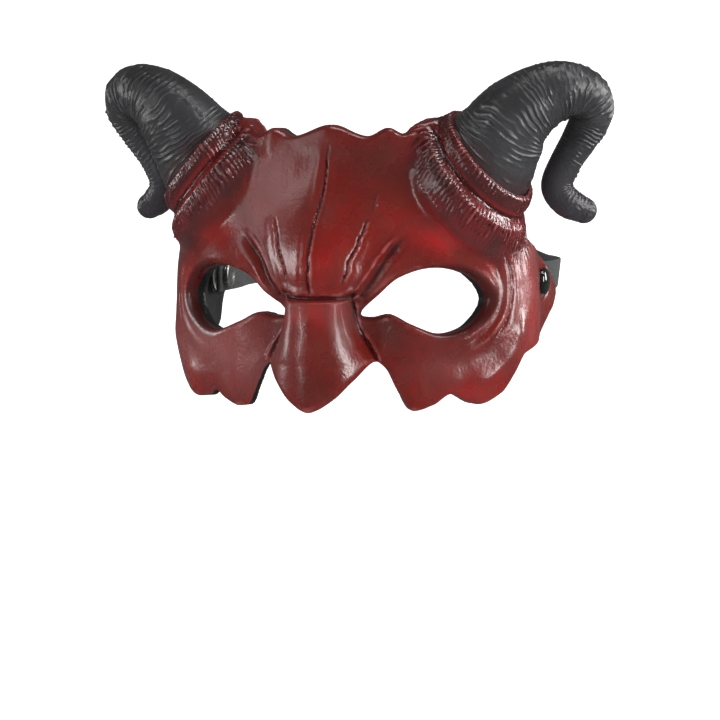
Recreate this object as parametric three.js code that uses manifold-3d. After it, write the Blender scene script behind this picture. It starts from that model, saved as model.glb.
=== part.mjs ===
// Curl-horned half mask: a moulded foam devil face with two curled horns and an elastic strap.
// Millimetres, +Z up. The face looks along -Y and its origin lies midway between the two strap
// rivets. "right" is the +X side and "left" the -X side. Angles round the face are in degrees from
// the middle of the face (-Y) towards either side.
import * as THREE from 'three';
import { mergeVertices } from 'three/addons/utils/BufferGeometryUtils.js';
import Module from 'manifold-3d';

const wasm = await Module();
wasm.setup();

// ---------------------------------------------------------------- driving dimensions
const GAP = 0.3; // glue line or running clearance between neighbouring pieces
const SIDES = { left: -1, right: 1 };

// The face is a domed wall round a vertical axis through the origin.
const DOME = { radius: 82.5, middleZ: -12, height: 128.5 };
const CHEEKBONE = { angle: 60, spread: 20, height: 7.2 };
const CHEEK = { angle: 32, spread: 14, height: 4 };
const TEMPLE = { angle: 88, spread: 13, depth: 4.2 };
const END_FLARE = { from: 90, height: 2.4 };
const WALL = { face: 8.5, temple: 5.6, thinFrom: 60, thinTo: 85 };
const END_ANGLE = 104; // the wall ends behind the rivets
const MIDDLE_CROWDING = 1.35; // how much closer the wall's columns stand at the nose
const MESH = { columns: 56, rows: 12, eyePoints: 26, horn: 18, collar: 24, rivet: 16 };

// Scalloped outline of the wall: [angle, height] at each peak, notch and turn.
const TOP_EDGE = [
  [0, 69.4], [14.2, 64.6], [21.8, 68.1], [26.9, 65.5], [32, 69.4], [40, 72.5], [50, 66], [60, 46],
  [68, 21], [80, 16], [91, 12], [99, 3.5], [END_ANGLE, -2],
];
const BOTTOM_EDGE = [
  [0, -50.7], [4.9, -46.5], [10.4, -38.3], [16.8, -30.5], [20.1, -33.8], [23.4, -42.3], [28, -51.6],
  [34.6, -49], [39.2, -44.7], [48.5, -49.7], [56.5, -45.5], [61.1, -36.6], [64.5, -29.5], [88, -24.3],
  [99, -14], [END_ANGLE, -8],
];

// Eye opening, anticlockwise from its inner corner: [angle, height].
const EYE = [
  [12, -11], [17.8, -2], [23.5, 5], [32.5, 9.1], [42, 7.4], [48.5, 2.6], [51.2, -4.5], [48.6, -11.5],
  [42, -17], [35.5, -18.7], [27.4, -14.6], [21.3, -10.4], [16, -11.9],
];

const NOSE = { rootZ: -3, rootHalfAngle: 9.8, wingZ: -31, wingHalfAngle: 17.6, tipZ: -50 };
// The nose is flat fronted with steep sides at its root, and rounder towards the wings.
const NOSE_CROWN = { root: 5, wing: 1.9 };
const NOSE_FLARE = 1.8;
const NOSE_HEIGHT = { root: 15, tip: 22.5 };
const BROW = { z: 8, spreadZ: 24, spreadAngle: 12.7, height: 12.5 };
const INNER_SOCKET = { angle: 15, z: -17, spreadAngle: 9, spreadZ: 16, depth: 4 };
const TOP_LIP = { z: 70, spread: 12, height: 3.5 };

// Horn centre line on the +X side, from the seat in the collar to the tip, and the radius there.
const HORN = [
  { at: [65.4, -45.2, 55.9], radius: 21.8 },
  { at: [70.2, -47.2, 64.6], radius: 19.2 },
  { at: [76.5, -48.2, 73], radius: 16.8 },
  { at: [86, -45, 80.5], radius: 14.3 },
  { at: [96, -41, 84], radius: 12.3 },
  { at: [103.5, -35.5, 82], radius: 10.8 },
  { at: [106, -29.5, 74.5], radius: 9.2 },
  { at: [100.5, -27, 63.5], radius: 7.8 },
  { at: [93.8, -26.2, 52.5], radius: 6.9 },
  { at: [90.2, -25.3, 42.3], radius: 6.9 },
  { at: [94.5, -22.6, 35.8], radius: 6.8 },
  { at: [100.6, -18, 32.4], radius: 5.8 },
];
// The horn stands square on its seat, and its sections turn to face along the curve within SEAT_BLEND
// of its length.
const SEAT_AXIS = [0.753, -0.139, 0.644];
const SEAT_BLEND = 0.12;
const SPIGOT = { radius: 9, length: 4.5 };
const HORN_SECTIONS = 33;

// Collar rings round a horn: [radius, height above the horn's seat]. Their middles lie on a line
// that leans away from the horn's axis, because the collar follows the slope of the forehead.
const COLLAR = [
  [27.4, -30], [30.9, -21], [30.8, -15], [29.6, -10.8], [26.6, -8.6], [25.5, -7.2], [26.3, -3], [25.1, 0.6],
  [23, 1.4],
];
const COLLAR_LEAN = [0.55, -0.03, 0.84];

// Rivet stack at each temple: distances from the middle plane of the mask.
const RIVET = {
  dimpleFloor: 78.3, dimpleRadius: 8, capTop: 82.2, capRadius: 6.15, postRadius: 2,
  innerFace: 74.6, innerFaceRadius: 8.5, washerThickness: 1, washerRadius: 7,
  flangeRadius: 6, flangeThickness: 1.2,
};
const STRAP = { width: 14, thickness: 1.2, tabFront: -9, tabBack: 14, lift: 7.5, lean: 0.12 };
const EYELET = { flange: 0.5, flangeRadius: 5.2, barrelRadius: 3.1 };
// Plan of the strap's middle line behind the tab on the +X side, ending at the back of the head.
const STRAP_PLAN = [[0, 14], [1, 26], [3.6, 40], [3.9, 55], [1, 72], [-9, 92], [-32, 110], [-70.25, 118]];

// ---------------------------------------------------------------- small helpers
const radians = THREE.MathUtils.degToRad;
const smoothstep = THREE.MathUtils.smoothstep;
const bell = (x, middle, spread) => Math.exp(-(((x - middle) / spread) ** 2));

// Smooth curve through [x, y] points which never overshoots them.
function through(points, x) {
  const last = points.length - 2;
  let i = 0;
  while (i < last && x > points[i + 1][0]) i += 1;
  const slope = (k) => (points[k + 1][1] - points[k][1]) / (points[k + 1][0] - points[k][0]);
  const tangent = (k) => {
    if (k === 0 || k === points.length - 1) return 0;
    const before = slope(k - 1);
    const after = slope(k);
    return before * after <= 0 ? 0 : (2 * before * after) / (before + after);
  };
  const width = points[i + 1][0] - points[i][0];
  const t = THREE.MathUtils.clamp((x - points[i][0]) / width, 0, 1);
  const rise = points[i + 1][1] - points[i][1];
  const ease = t * t * (3 - 2 * t);
  const lead = t * (1 - t) * (1 - t) * width * tangent(i);
  const trail = t * t * (1 - t) * width * tangent(i + 1);
  return points[i][1] + rise * ease + lead - trail;
}

// Closed geometry with shared vertices and no empty triangles.
function welded(geometry) {
  geometry.deleteAttribute('normal');
  geometry.deleteAttribute('uv');
  const merged = mergeVertices(geometry, 1e-4);
  const index = merged.index.array;
  const kept = [];
  for (let i = 0; i < index.length; i += 3) {
    const [a, b, c] = [index[i], index[i + 1], index[i + 2]];
    if (a !== b && b !== c && c !== a) kept.push(a, b, c);
  }
  merged.setIndex(kept);
  return merged;
}

function toManifold(geometry) {
  const closed = welded(geometry);
  return new wasm.Manifold(new wasm.Mesh({
    numProp: 3,
    vertProperties: new Float32Array(closed.attributes.position.array),
    triVerts: new Uint32Array(closed.index.array),
  }));
}

function toGeometry(solid) {
  const mesh = solid.getMesh();
  const geometry = new THREE.BufferGeometry();
  geometry.setAttribute('position', new THREE.BufferAttribute(mesh.vertProperties, 3));
  geometry.setIndex(new THREE.BufferAttribute(mesh.triVerts, 1));
  return geometry;
}

// Solid through a list of closed rings of points, with a fan over each end.
function skin(rings) {
  const count = rings[0].length;
  const points = rings.flat();
  const faces = [];
  for (let r = 0; r < rings.length - 1; r += 1) {
    for (let k = 0; k < count; k += 1) {
      const a = r * count + k;
      const b = r * count + ((k + 1) % count);
      faces.push(a, b, b + count, a, b + count, a + count);
    }
  }
  const middle = (ring) => ring.reduce((sum, p) => sum.add(p), new THREE.Vector3()).divideScalar(count);
  const first = points.push(middle(rings[0])) - 1;
  const end = points.push(middle(rings[rings.length - 1])) - 1;
  const lastRing = (rings.length - 1) * count;
  for (let k = 0; k < count; k += 1) {
    const next = (k + 1) % count;
    faces.push(first, next, k, end, lastRing + k, lastRing + next);
  }
  const geometry = new THREE.BufferGeometry().setFromPoints(points);
  geometry.setIndex(faces);
  return geometry;
}

// Solid of revolution along +X: the profile is [radius, distance along X], bottom to top.
function turned(profile, side = 1) {
  const points = profile.map(([radius, x]) => new THREE.Vector2(radius, x));
  const geometry = new THREE.LatheGeometry(points, MESH.rivet);
  geometry.rotateZ(-side * Math.PI / 2);
  return geometry;
}

function sub(name, geometry, look) {
  const mesh = new THREE.Mesh(geometry, new THREE.MeshStandardMaterial(look));
  mesh.name = name;
  return mesh;
}

// ---------------------------------------------------------------- shape of the face
function domeRadius(angle, z) {
  const plan = DOME.radius
    + CHEEKBONE.height * bell(angle, CHEEKBONE.angle, CHEEKBONE.spread)
    + CHEEK.height * bell(angle, CHEEK.angle, CHEEK.spread)
    - TEMPLE.depth * bell(angle, TEMPLE.angle, TEMPLE.spread)
    + END_FLARE.height * smoothstep(angle, END_FLARE.from, END_ANGLE);
  return plan * Math.sqrt(1 - ((z - DOME.middleZ) / DOME.height) ** 2);
}

// Height of the nose above the dome; inset > 0 gives the hollow behind it.
function noseHeight(angle, z, inset) {
  const down = THREE.MathUtils.clamp((NOSE.rootZ - z) / (NOSE.rootZ - NOSE.wingZ), 0, 1);
  const spread = THREE.MathUtils.lerp(NOSE.rootHalfAngle, NOSE.wingHalfAngle, down ** NOSE_FLARE);
  const halfAngle = spread * (1 - inset / 16);
  if (angle > halfAngle) return 0;
  const toTip = THREE.MathUtils.clamp((NOSE.rootZ - z) / (NOSE.rootZ - NOSE.tipZ), 0, 1);
  const height = THREE.MathUtils.lerp(NOSE_HEIGHT.root, NOSE_HEIGHT.tip, toTip) - inset;
  const start = 1 - smoothstep(z, NOSE.rootZ - 3, NOSE.rootZ + 3);
  const crown = THREE.MathUtils.lerp(NOSE_CROWN.root, NOSE_CROWN.wing, down);
  return start * height * (1 - (angle / halfAngle) ** crown);
}

function relief(angle, z, inset) {
  const brow = (BROW.height - inset) * bell(z, BROW.z, BROW.spreadZ) * bell(angle, 0, BROW.spreadAngle)
    * smoothstep(z, NOSE.rootZ - 3, NOSE.rootZ + 3);
  const socket = INNER_SOCKET.depth * bell(angle, INNER_SOCKET.angle, INNER_SOCKET.spreadAngle)
    * bell(z, INNER_SOCKET.z, INNER_SOCKET.spreadZ);
  const lip = TOP_LIP.height * bell(z, TOP_LIP.z, TOP_LIP.spread);
  return brow + noseHeight(angle, z, inset) - socket + lip;
}

const outerRadius = (angle, z) => domeRadius(angle, z) + relief(angle, z, 0);

function innerRadius(angle, z) {
  const thin = smoothstep(angle, WALL.thinFrom, WALL.thinTo);
  const thickness = THREE.MathUtils.lerp(WALL.face, WALL.temple, thin);
  return domeRadius(angle, z) + relief(angle, z, 2.5) - thickness;
}

// Point at a signed angle round the face, a height and a radius.
function around(angle, z, radius) {
  const a = radians(angle);
  return new THREE.Vector3(radius * Math.sin(a), -radius * Math.cos(a), z);
}

// The wall as rings of points from one end to the other: up the inside, down the outside.
function wall() {
  const rings = [];
  for (let c = 0; c <= MESH.columns; c += 1) {
    const across = 2 * c / MESH.columns - 1;
    const size = END_ANGLE * Math.abs(across) ** MIDDLE_CROWDING;
    const angle = Math.sign(across) * size;
    const top = through(TOP_EDGE, size);
    const bottom = through(BOTTOM_EDGE, size);
    const ring = [];
    for (let r = 0; r <= MESH.rows; r += 1) {
      const z = THREE.MathUtils.lerp(bottom, top, r / MESH.rows);
      ring.push(around(angle, z, innerRadius(size, z)));
    }
    for (let r = MESH.rows; r >= 0; r -= 1) {
      const z = THREE.MathUtils.lerp(bottom, top, r / MESH.rows);
      ring.push(around(angle, z, outerRadius(size, z)));
    }
    rings.push(ring);
  }
  return toManifold(skin(rings));
}

// The room for the head behind the wall, taller than the mask and closed all round.
function headRoom() {
  const rings = [];
  for (let z = -70; z <= 100; z += 10) {
    const ring = [];
    for (let k = 0; k < 72; k += 1) {
      const angle = k * 5 - 180;
      ring.push(around(angle, z, innerRadius(Math.abs(angle), z)));
    }
    rings.push(ring);
  }
  return toManifold(skin(rings));
}

function eyePrism(side) {
  const outline = new THREE.CatmullRomCurve3(EYE.map(([a, z]) => new THREE.Vector3(a, z, 0)), true);
  const points = outline.getPoints(MESH.eyePoints).slice(0, -1);
  if (side > 0) points.reverse();
  const ringAt = (radius) => points.map((p) => around(side * p.x, p.y, radius));
  return toManifold(skin([ringAt(55), ringAt(120)]));
}

// ---------------------------------------------------------------- horns and collars
const mirrored = ([x, y, z], side) => new THREE.Vector3(side * x, y, z);

function hornCurve(side) {
  return new THREE.CatmullRomCurve3(HORN.map((station) => mirrored(station.at, side)));
}

function hornRadius(t) {
  return through(HORN.map((station, i) => [i / (HORN.length - 1), station.radius]), t);
}

// A ring of points round an axis, starting in the direction of `across`.
function circle(centre, axis, across, radius, count = MESH.horn) {
  const other = new THREE.Vector3().crossVectors(axis, across);
  const ring = [];
  for (let k = 0; k < count; k += 1) {
    const turn = (2 * Math.PI * k) / count;
    ring.push(centre.clone()
      .addScaledVector(across, radius * Math.cos(turn))
      .addScaledVector(other, radius * Math.sin(turn)));
  }
  return ring;
}

// The seat is the plane in the collar that the horn stands on.
function seat(side) {
  return { centre: mirrored(HORN[0].at, side), axis: mirrored(SEAT_AXIS, side).normalize() };
}

function horn(side) {
  const curve = hornCurve(side);
  const { centre, axis } = seat(side);
  let across = new THREE.Vector3(0, -1, 0);
  const squareTo = (direction) => across.addScaledVector(direction, -across.dot(direction)).normalize();
  squareTo(axis);
  const foot = centre.clone().addScaledVector(axis, -SPIGOT.length);
  const rings = [circle(foot, axis, across, SPIGOT.radius), circle(centre, axis, across, SPIGOT.radius)];
  for (let i = 0; i <= HORN_SECTIONS; i += 1) {
    const t = i / HORN_SECTIONS;
    const facing = axis.clone().lerp(curve.getTangent(t), Math.min(t / SEAT_BLEND, 1)).normalize();
    across = squareTo(facing).clone();
    rings.push(circle(curve.getPoint(t), facing, across, hornRadius(t)));
  }
  const tip = curve.getPoint(1);
  const tipAxis = curve.getTangent(1);
  const tipRadius = HORN[HORN.length - 1].radius;
  for (const turn of [30, 60, 80]) {
    const at = tip.clone().addScaledVector(tipAxis, tipRadius * Math.sin(radians(turn)));
    rings.push(circle(at, tipAxis, across, tipRadius * Math.cos(radians(turn))));
  }
  return skin(rings);
}

// Turned body about the seat's axis: the profile is [radius, height above the seat].
function aboutSeat(profile, side) {
  const { centre, axis } = seat(side);
  const points = profile.map(([radius, height]) => new THREE.Vector2(radius, height));
  const geometry = new THREE.LatheGeometry(points, MESH.collar);
  const turn = new THREE.Quaternion().setFromUnitVectors(new THREE.Vector3(0, 1, 0), axis);
  geometry.applyQuaternion(turn);
  geometry.translate(centre.x, centre.y, centre.z);
  return toManifold(geometry);
}

function collar(side) {
  const { centre, axis } = seat(side);
  const across = new THREE.Vector3(0, -1, 0);
  across.addScaledVector(axis, -across.dot(axis)).normalize();
  const lean = mirrored(COLLAR_LEAN, side);
  lean.divideScalar(lean.dot(axis));
  const rings = COLLAR.map(([radius, height]) => (
    circle(centre.clone().addScaledVector(lean, height), axis, across, radius, MESH.collar)));
  return toManifold(skin(rings));
}

// Room for the spigot below the seat and for the flare of the horn above it.
function hornRoom(side) {
  const bore = SPIGOT.radius + GAP;
  const floor = -SPIGOT.length - GAP;
  const rim = HORN[0].radius + GAP;
  return aboutSeat([[0, floor], [bore, floor], [bore, -GAP], [rim, -GAP], [rim + 7, 16], [0, 16]], side);
}

// ---------------------------------------------------------------- rivets
const postBore = RIVET.postRadius + GAP;
const strapOuterFace = RIVET.innerFace - 3 * GAP - RIVET.washerThickness - EYELET.flange - GAP / 2;
const strapInnerFace = strapOuterFace - 2 * STRAP.thickness;
const strapMiddle = strapInnerFace + STRAP.thickness / 2;

function rivetCuts(side) {
  const dimple = [[0, RIVET.dimpleFloor], [RIVET.dimpleRadius, RIVET.dimpleFloor],
    [RIVET.dimpleRadius + 1, 95], [0, 95]];
  const flat = [[0, 60], [RIVET.innerFaceRadius, 60], [RIVET.innerFaceRadius, RIVET.innerFace],
    [0, RIVET.innerFace]];
  const bore = [[0, 60], [postBore, 60], [postBore, 95], [0, 95]];
  return [dimple, flat, bore].map((profile) => toManifold(turned(profile, side)));
}

function rivetCap(side) {
  const base = RIVET.dimpleFloor + GAP;
  const socketTop = RIVET.capTop - 1.6;
  const rise = RIVET.capTop - base - 1;
  const dome = [];
  for (let turn = 0; turn <= 90; turn += 15) {
    dome.push([RIVET.capRadius * Math.cos(radians(turn)), base + 1 + rise * Math.sin(radians(turn))]);
  }
  dome[dome.length - 1][0] = 0;
  return turned([[0, socketTop], [postBore, socketTop], [postBore, base],
    [RIVET.capRadius - 0.4, base], ...dome], side);
}

function rivetPost(side) {
  const outer = strapInnerFace - EYELET.flange - 2 * GAP;
  const inner = outer - RIVET.flangeThickness;
  const end = RIVET.capTop - 1.6 - GAP;
  return turned([[0, inner], [RIVET.flangeRadius - 0.4, inner], [RIVET.flangeRadius, inner + 0.5],
    [RIVET.flangeRadius, outer], [RIVET.postRadius, outer], [RIVET.postRadius, end], [0, end]], side);
}

// Ring of rectangular section, closed on itself.
function annulus(inside, outside, from, to, side) {
  return turned([[inside, from], [outside, from], [outside, to], [inside, to], [inside, from]], side);
}

function washer(side) {
  const outer = RIVET.innerFace - GAP;
  return annulus(postBore, RIVET.washerRadius, outer - RIVET.washerThickness, outer, side);
}

function eyelet(side) {
  const near = strapInnerFace - GAP / 2;
  const far = strapOuterFace + GAP / 2;
  const { flange, flangeRadius, barrelRadius } = EYELET;
  return turned([[postBore, near - flange], [flangeRadius, near - flange], [flangeRadius, near],
    [barrelRadius, near], [barrelRadius, far], [flangeRadius, far], [flangeRadius, far + flange],
    [postBore, far + flange], [postBore, near - flange]], side);
}

// ---------------------------------------------------------------- strap
// Plan outline of half the band, from the back of the head to the folded tab and back again.
function halfStrap() {
  const plan = new THREE.SplineCurve(STRAP_PLAN.map(([x, y]) => new THREE.Vector2(strapMiddle + x, y)));
  const points = plan.getSpacedPoints(26).reverse();
  const offset = (i, distance) => {
    const along = points[Math.min(i + 1, points.length - 1)].clone().sub(points[Math.max(i - 1, 0)]);
    if (i === 0) along.set(1, 0);
    if (i === points.length - 1) along.set(0, -1);
    along.normalize();
    return new THREE.Vector2(points[i].x - along.y * distance, points[i].y + along.x * distance);
  };
  const half = STRAP.thickness / 2;
  const outside = points.map((p, i) => offset(i, half));
  const inside = points.map((p, i) => offset(i, -half)).reverse();
  const tab = [
    [strapMiddle + half, STRAP.tabBack - 0.2], [strapOuterFace, STRAP.tabBack - 0.4],
    [strapOuterFace, STRAP.tabFront + 0.8], [strapOuterFace - 0.8, STRAP.tabFront],
    [strapInnerFace + 0.8, STRAP.tabFront], [strapInnerFace, STRAP.tabFront + 0.8],
  ].map(([x, y]) => new THREE.Vector2(x, y));
  return [...outside, ...tab, ...inside];
}

// The band leans out over the sides of the head, and it climbs only where it crosses the back.
function wrapRoundHead(geometry) {
  const position = geometry.getAttribute('position');
  for (let i = 0; i < position.count; i += 1) {
    const x = position.getX(i);
    const y = position.getY(i);
    const z = position.getZ(i);
    const lean = STRAP.lean * smoothstep(y, 18, 50) * (1 - smoothstep(y, 60, 110));
    position.setX(i, x + Math.sign(x) * lean * z);
    position.setZ(i, z + STRAP.lift * smoothstep(y, 88, 118));
  }
}

function strap() {
  const right = halfStrap();
  const left = right.slice(1, -1).map((p) => new THREE.Vector2(-p.x, p.y)).reverse();
  const band = new THREE.ExtrudeGeometry(new THREE.Shape([...right, ...left]), {
    depth: STRAP.width, bevelEnabled: false, curveSegments: 1,
  });
  band.translate(0, 0, -STRAP.width / 2);
  wrapRoundHead(band);
  let solid = toManifold(band);
  for (const side of Object.values(SIDES)) {
    const radius = EYELET.barrelRadius + GAP;
    solid = solid.subtract(toManifold(turned([[0, 60], [radius, 60], [radius, 90], [0, 90]], side)));
  }
  return toGeometry(solid);
}

// ---------------------------------------------------------------- face shell
function faceShell() {
  const room = headRoom();
  let shell = wall();
  for (const side of Object.values(SIDES)) {
    shell = shell.add(collar(side).subtract(room)).subtract(hornRoom(side)).subtract(eyePrism(side));
    for (const cut of rivetCuts(side)) shell = shell.subtract(cut);
  }
  return toGeometry(shell);
}

// ---------------------------------------------------------------- assembly
const LOOK = {
  paintedFoam: { color: 0x6e1512, roughness: 0.34, metalness: 0 },
  hornFoam: { color: 0x2e2d2f, roughness: 0.62, metalness: 0 },
  blackCap: { color: 0x0b0d0c, roughness: 0.15, metalness: 0.1 },
  steel: { color: 0x9a9b98, roughness: 0.35, metalness: 1 },
  nylon: { color: 0xb9b8b0, roughness: 0.5, metalness: 0 },
  webbing: { color: 0x2b2f2e, roughness: 0.85, metalness: 0 },
};

const mask = new THREE.Group();
mask.add(sub('face_shell', faceShell(), LOOK.paintedFoam));
mask.add(sub('elastic_strap', strap(), LOOK.webbing));
for (const [name, side] of Object.entries(SIDES)) {
  mask.add(sub(`horn_${name}`, horn(side), LOOK.hornFoam));
  mask.add(sub(`rivet_cap_${name}`, rivetCap(side), LOOK.blackCap));
  mask.add(sub(`rivet_post_${name}`, rivetPost(side), LOOK.steel));
  mask.add(sub(`rivet_washer_${name}`, washer(side), LOOK.nylon));
  mask.add(sub(`strap_eyelet_${name}`, eyelet(side), LOOK.steel));
}

export default mask;
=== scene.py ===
# Looks of the horned half mask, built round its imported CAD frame.
# Shapes are worked out in millimetres in the frame of the CAD model and stored in metres.
import math

import bmesh
import bpy
import numpy as np
from mathutils import Matrix, Vector


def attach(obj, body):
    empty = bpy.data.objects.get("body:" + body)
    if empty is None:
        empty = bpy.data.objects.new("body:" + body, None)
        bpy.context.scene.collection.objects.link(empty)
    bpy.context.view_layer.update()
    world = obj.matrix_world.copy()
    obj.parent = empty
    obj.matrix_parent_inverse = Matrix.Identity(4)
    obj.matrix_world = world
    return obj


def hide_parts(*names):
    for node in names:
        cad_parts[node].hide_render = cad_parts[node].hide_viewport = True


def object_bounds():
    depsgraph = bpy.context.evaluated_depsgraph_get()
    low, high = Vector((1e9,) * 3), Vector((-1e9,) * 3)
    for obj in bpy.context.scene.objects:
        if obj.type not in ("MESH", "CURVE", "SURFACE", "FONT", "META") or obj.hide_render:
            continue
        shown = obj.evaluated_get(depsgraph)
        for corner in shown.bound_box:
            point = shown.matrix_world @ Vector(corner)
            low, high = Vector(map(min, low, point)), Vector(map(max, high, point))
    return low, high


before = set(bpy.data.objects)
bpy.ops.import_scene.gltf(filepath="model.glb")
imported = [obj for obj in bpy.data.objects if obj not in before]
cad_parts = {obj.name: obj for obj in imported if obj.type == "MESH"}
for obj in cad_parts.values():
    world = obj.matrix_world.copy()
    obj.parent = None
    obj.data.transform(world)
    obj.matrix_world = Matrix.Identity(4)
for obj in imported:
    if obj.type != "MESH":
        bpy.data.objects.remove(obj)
cad_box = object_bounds()

MM = 0.001
SIDES = {"left": -1, "right": 1}
DEG = 1.5  # millimetres of face to a degree round it

# ---- dimensions shared with the CAD
END_ANGLE = 104
TOP_EDGE = [  # (angle, height), as are the points of every line on the face
    (0, 69.4), (14.2, 64.6), (21.8, 68.1), (26.9, 65.5), (32, 69.4), (40, 72.5), (50, 66), (60, 46),
    (68, 21), (80, 16), (91, 12), (99, 3.5), (END_ANGLE, -2)]
BOTTOM_EDGE = [
    (0, -50.7), (4.9, -46.5), (10.4, -38.3), (16.8, -30.5), (20.1, -33.8), (23.4, -42.3), (28, -51.6),
    (34.6, -49), (39.2, -44.7), (48.5, -49.7), (56.5, -45.5), (61.1, -36.6), (64.5, -29.5), (88, -24.3),
    (99, -14), (END_ANGLE, -8)]
EYE = [
    (12, -11), (17.8, -2), (23.5, 5), (32.5, 9.1), (42, 7.4), (48.5, 2.6), (51.2, -4.5), (48.6, -11.5),
    (42, -17), (35.5, -18.7), (27.4, -14.6), (21.3, -10.4), (16, -11.9)]
HORN = [  # (x, y, z, radius) from the seat to the tip
    (65.4, -45.2, 55.9, 21.8), (70.2, -47.2, 64.6, 19.2), (76.5, -48.2, 73, 16.8), (86, -45, 80.5, 14.3),
    (96, -41, 84, 12.3), (103.5, -35.5, 82, 10.8), (106, -29.5, 74.5, 9.2), (100.5, -27, 63.5, 7.8),
    (93.8, -26.2, 52.5, 6.9), (90.2, -25.3, 42.3, 6.9), (94.5, -22.6, 35.8, 6.8), (100.6, -18, 32.4, 5.8)]
SEAT_AXIS = (0.753, -0.139, 0.644)
SEAT_BLEND = 0.12  # share of the horn's length in which its sections turn from the seat to the curve
SPIGOT_RADIUS, SPIGOT_LENGTH = 9, 4.5
GAP = 0.3  # glue line round a horn, and the play between the pieces of a rivet
COLLAR_TOP = 1.4
COLLAR = [  # (height along the horn's seat, radius)
    (-30, 27.4), (-21, 30.9), (-15, 30.8), (-10.8, 29.6), (-8.6, 26.6), (-7.2, 25.5), (-3, 26.3), (0.6, 25.1),
    (COLLAR_TOP, 23)]
COLLAR_LEAN = (0.55, -0.03, 0.84)
COLLAR_REACH = 18  # nearest that a collar and its folds come to the middle plane
INNER_FACE, OUTER_FACE = 74.6, 78.3  # distance from the middle plane of the wall at a rivet
BORE_RADIUS = 2.3


# ---- numbers
def bell(x, middle, spread):
    return np.exp(-((x - middle) / spread) ** 2)


def smoothstep(x, low, high):
    t = np.clip((x - low) / (high - low), 0, 1)
    return t * t * (3 - 2 * t)


def lerp(a, b, t):
    return a + (b - a) * t


def unit_rows(vectors):
    return vectors / np.linalg.norm(vectors, axis=1)[:, None]


def lengths_along(points):
    """How far along a line each of its points is."""
    return np.concatenate([[0], np.cumsum(np.linalg.norm(np.diff(points, axis=0), axis=1))])


def evenly(points, count):
    """`count` places equally far apart along a line, and the points there."""
    travelled = lengths_along(points)
    at = np.linspace(0, travelled[-1], count)
    return at, np.stack([np.interp(at, travelled, column) for column in points.T], 1)


def face_angle(points):
    """Degrees round the face from its middle, positive on the +X side."""
    return np.degrees(np.arctan2(points[:, 0], -points[:, 1]))


def through(points, x):
    """Smooth curve through (x, y) points which never overshoots them."""
    px, py = np.array(points, float).T
    x = np.clip(x, px[0], px[-1])
    width = np.diff(px)
    slope = np.diff(py) / width
    tangent = np.zeros(len(px))
    product = slope[:-1] * slope[1:]
    total = slope[:-1] + slope[1:]
    tangent[1:-1] = np.where(product > 0, 2 * product / np.where(total == 0, 1, total), 0)
    i = np.clip(np.searchsorted(px, x) - 1, 0, len(width) - 1)
    t = (x - px[i]) / width[i]
    rise = (py[i + 1] - py[i]) * t * t * (3 - 2 * t)
    return py[i] + rise + width[i] * (t * (1 - t) ** 2 * tangent[i] - t * t * (1 - t) * tangent[i + 1])


def catmull(points, samples, closed=False):
    """Points along the centripetal curve through `points`, `samples` of them to a span."""
    p = np.array(points, float)
    ends = (p[-1:], p[:2]) if closed else (2 * p[:1] - p[1:2], 2 * p[-1:] - p[-2:-1])
    padded = np.vstack([ends[0], p, ends[1]])
    out = []
    for i in range(len(p) if closed else len(p) - 1):
        p0, p1, p2, p3 = padded[i:i + 4]
        d0, d1, d2 = (max(np.sum((b - a) ** 2) ** 0.25, 1e-4) for a, b in ((p0, p1), (p1, p2), (p2, p3)))
        t1 = ((p1 - p0) / d0 - (p2 - p0) / (d0 + d1) + (p2 - p1) / d1) * d1
        t2 = ((p2 - p1) / d1 - (p3 - p1) / (d1 + d2) + (p3 - p2) / d2) * d1
        t = np.arange(samples)[:, None] / samples
        out.append(p1 + t1 * t + (3 * (p2 - p1) - 2 * t1 - t2) * t ** 2 + (2 * (p1 - p2) + t1 + t2) * t ** 3)
    if not closed:
        out.append(p[-1:])
    return np.vstack(out)


def noise(coords, seed, size=32):
    """Smooth random field from 0 to 1 with features one unit apart; coords is a tuple of arrays."""
    sizes = size if isinstance(size, tuple) else (size,) * len(coords)
    table = np.random.RandomState(seed).rand(*sizes)
    low = [np.floor(c).astype(np.int64) for c in coords]
    part = [c - f for c, f in zip(coords, low)]
    part = [t * t * (3 - 2 * t) for t in part]
    total = 0
    for corner in range(2 ** len(coords)):
        bits = [(corner >> k) & 1 for k in range(len(coords))]
        weight = 1
        for bit, t in zip(bits, part):
            weight = weight * (t if bit else 1 - t)
        total = total + weight * table[tuple((f + bit) % n for f, bit, n in zip(low, bits, sizes))]
    return total


def round_max(a, b, radius):
    """Intersection of two fields with its outside edge rounded."""
    outside = np.hypot(np.maximum(a + radius, 0), np.maximum(b + radius, 0)) - radius
    inside = np.maximum(a, b)
    return np.where(inside < -radius, inside, outside)


def soft_min(a, b, reach):
    """Union of two fields with a fillet about `reach` wide."""
    h = np.maximum(reach - np.abs(a - b), 0) / reach
    return np.minimum(a, b) - h * h * reach / 4


# ---- shape of the face
def dome_radius(size, z):
    plan = (82.5 + 7.2 * bell(size, 60, 20) + 4 * bell(size, 32, 14) - 4.2 * bell(size, 88, 13)
            + 2.4 * smoothstep(size, 90, END_ANGLE))
    return plan * np.sqrt(np.maximum(1 - ((z + 12) / 128.5) ** 2, 0.05))


def nose_height(size, z, inset):
    down = np.clip((-3 - z) / 28, 0, 1)
    half = lerp(9.8, 17.6, down ** 1.8) * (1 - inset / 16)
    height = lerp(15, 22.5, np.clip((-3 - z) / 47, 0, 1)) - inset
    shape = (1 - smoothstep(z, -6, 0)) * height * (1 - np.minimum(size / half, 1) ** lerp(5, 1.9, down))
    return shape * (size < half)


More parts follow.
